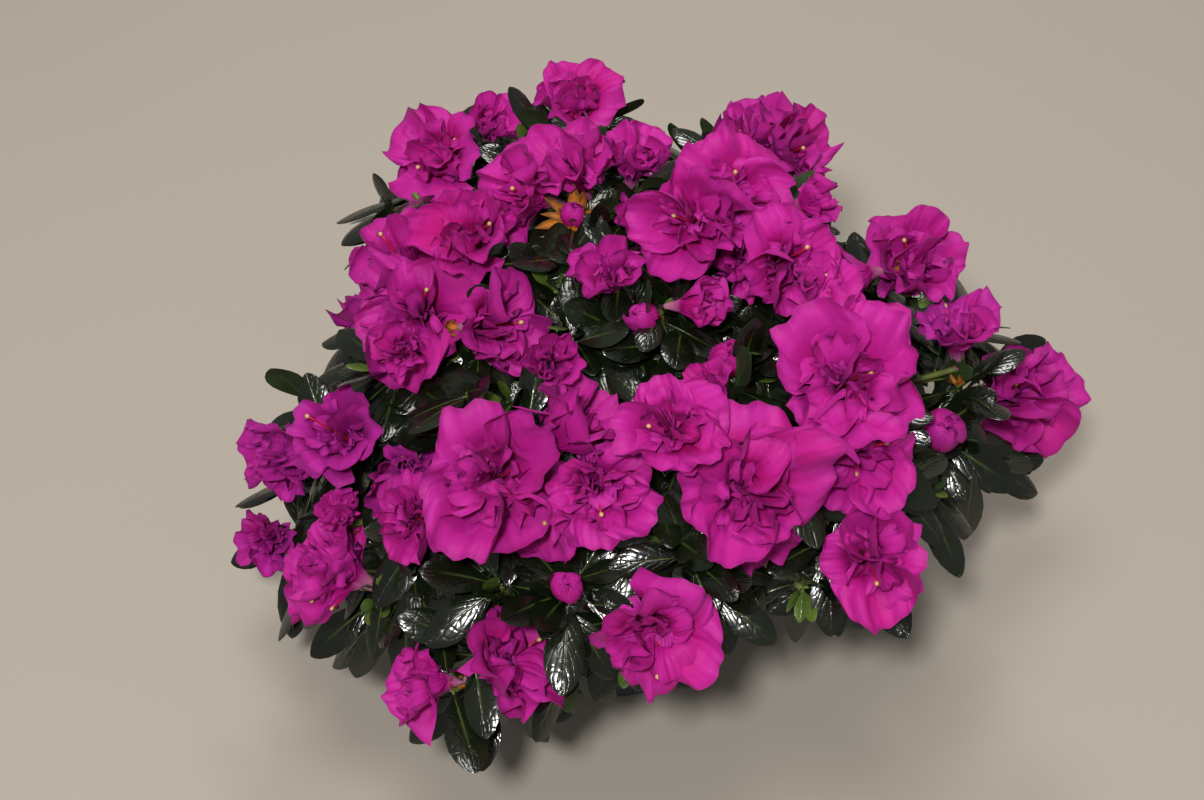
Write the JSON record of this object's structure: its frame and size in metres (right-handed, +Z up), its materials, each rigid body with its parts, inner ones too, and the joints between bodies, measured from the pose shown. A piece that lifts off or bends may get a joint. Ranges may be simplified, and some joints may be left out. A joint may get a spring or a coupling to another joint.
{
  "type": "potted azalea shrub",
  "caption": "Double-flowered magenta azalea shrub with glossy dark leaves, in a plain slate-grey cover pot",
  "frame": {"origin": "centre of the pot's flat underside, on the surface that the plant stands on", "axes": "+Z up; -Y toward the side that the picture was taken from; +X to the right in the picture"},
  "size_m": [0.3927, 0.3485, 0.3031],
  "materials": {
    "pot": "smooth slate-grey, satin matte",
    "soil": "crumbly dark peat",
    "bark": "thin grey-brown bark, matte",
    "foliage": "satin magenta petals over glossy dark green leaves"
  },
  "bodies": {
    "root": {"back_left_bough": "bark", "back_left_foliage": "foliage", "back_low_bough": "bark", "back_low_foliage": "foliage", "back_low_left_bough": "bark", "back_low_left_foliage": "foliage", "back_low_right_bough": "bark", "back_low_right_foliage": "foliage", "back_peak_bough": "bark", "back_peak_foliage": "foliage", "back_right_bough": "bark", "back_right_foliage": "foliage", "centre_low_bough": "bark", "centre_low_foliage": "foliage", "centre_right_bough": "bark", "centre_right_foliage": "foliage", "front_bough": "bark", "front_corner_bough": "bark", "front_corner_foliage": "foliage", "front_foliage": "foliage", "front_left_bough": "bark", "front_left_foliage": "foliage", "front_mid_bough": "bark", "front_mid_foliage": "foliage", "front_right_bough": "bark", "front_right_foliage": "foliage", "left_edge_bough": "bark", "left_edge_foliage": "foliage", "left_front_bough": "bark", "left_front_foliage": "foliage", "left_low_bough": "bark", "left_low_foliage": "foliage", "left_mid_bough": "bark", "left_mid_foliage": "foliage", "left_shoulder_bough": "bark", "left_shoulder_foliage": "foliage", "pot": "pot", "right_big_bough": "bark", "right_big_foliage": "foliage", "right_edge_bough": "bark", "right_edge_foliage": "foliage", "right_front_bough": "bark", "right_front_foliage": "foliage", "right_low_bough": "bark", "right_low_foliage": "foliage", "right_shoulder_bough": "bark", "right_shoulder_foliage": "foliage", "right_upper_bough": "bark", "right_upper_foliage": "foliage", "soil": "soil", "top_centre_bough": "bark", "top_centre_foliage": "foliage", "trunk": "bark", "upper_left_bough": "bark", "upper_left_foliage": "foliage", "upper_mid_bough": "bark", "upper_mid_foliage": "foliage", "upper_right_bough": "bark", "upper_right_foliage": "foliage"}
  },
  "joints": []
}
